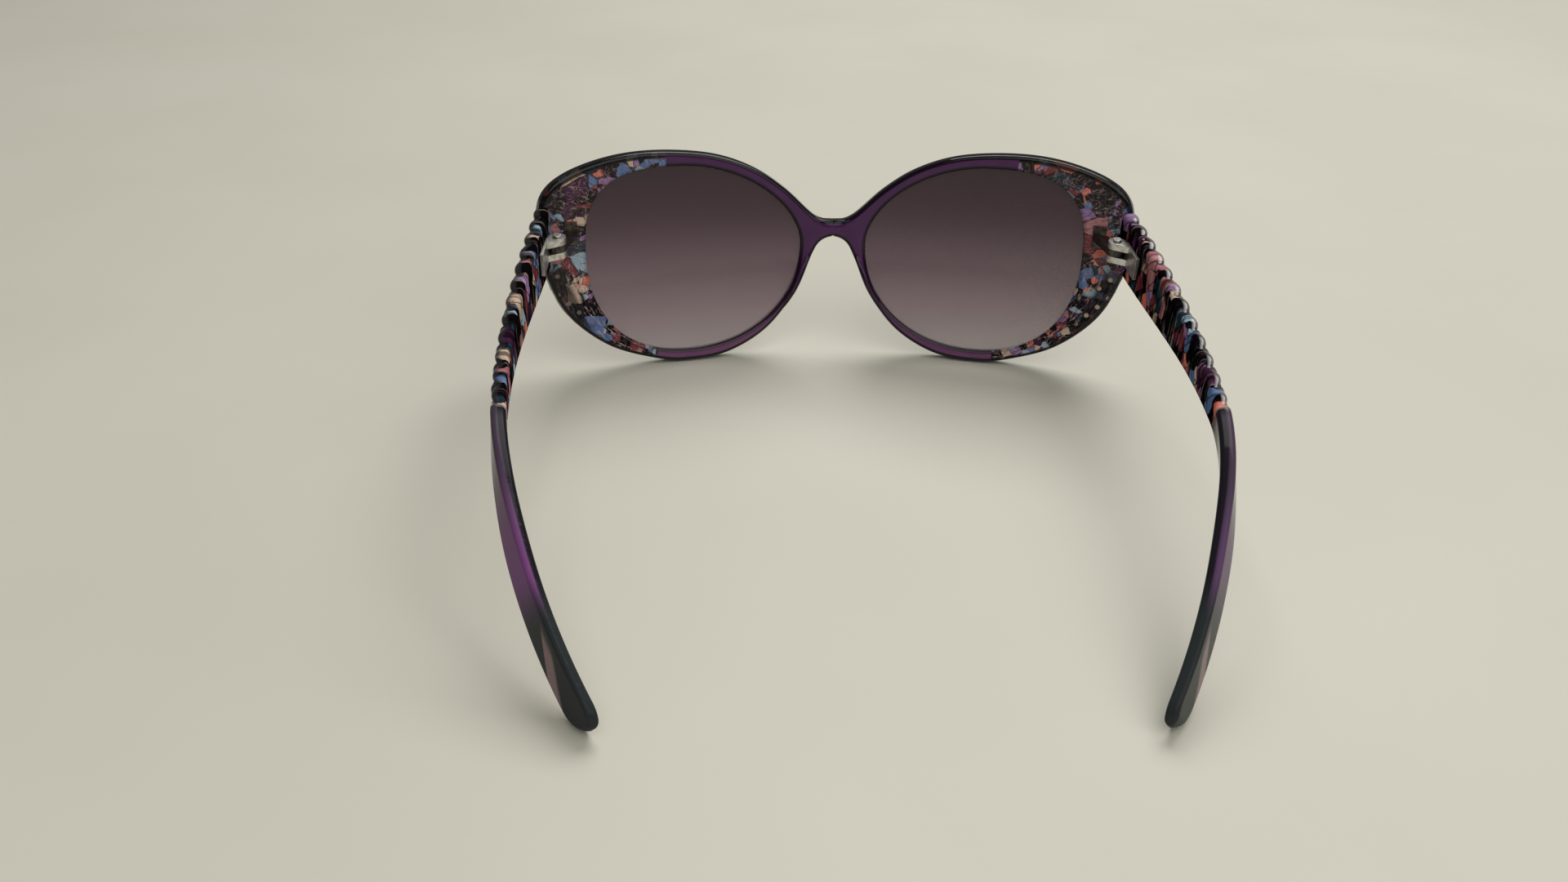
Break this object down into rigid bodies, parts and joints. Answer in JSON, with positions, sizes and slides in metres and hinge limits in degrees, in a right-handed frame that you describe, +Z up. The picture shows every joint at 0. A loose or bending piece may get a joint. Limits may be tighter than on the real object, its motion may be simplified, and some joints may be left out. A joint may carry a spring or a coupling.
{
  "type": "cat eye sunglasses",
  "caption": "Cat eye sunglasses with a bent plastic front, gradient lenses and quilted temples that fold on screw hinges.",
  "frame": {"origin": "middle of the footprint's box, on the table that the open glasses stand on", "axes": "+Z up, -Y the way the front faces, +X the wearer's left"},
  "size_m": [0.142, 0.148, 0.0511],
  "materials": {
    "purple_plastic": "glossy, translucent dark purple with a printed layer at both ends",
    "smoke_lens": "polished, dark at the top and pale at the bottom",
    "hinge_steel": "satin nickel",
    "printed_plastic": "glossy, printed patchwork under clear plastic, purple towards the tips"
  },
  "bodies": {
    "front": {"frame_front": "purple_plastic", "lens_left": "smoke_lens", "lens_right": "smoke_lens", "front_hinge_leaf_left": "hinge_steel", "front_hinge_leaf_right": "hinge_steel"},
    "left_temple": {"temple_left": "printed_plastic", "temple_hinge_leaf_left": "hinge_steel", "hinge_screw_left": "hinge_steel"},
    "right_temple": {"temple_right": "printed_plastic", "temple_hinge_leaf_right": "hinge_steel", "hinge_screw_right": "hinge_steel"}
  },
  "joints": [
    {"name": "left_temple_fold", "type": "hinge", "parent": "front", "child": "left_temple", "pos_m": [0.0647, -0.05081, 0.0336], "axis": [0, 0.0715, 0.9974], "range_deg": [0, 80]},
    {"name": "right_temple_fold", "type": "hinge", "parent": "front", "child": "right_temple", "pos_m": [-0.0647, -0.05081, 0.0336], "axis": [0, -0.0715, -0.9974], "range_deg": [0, 70]}
  ]
}
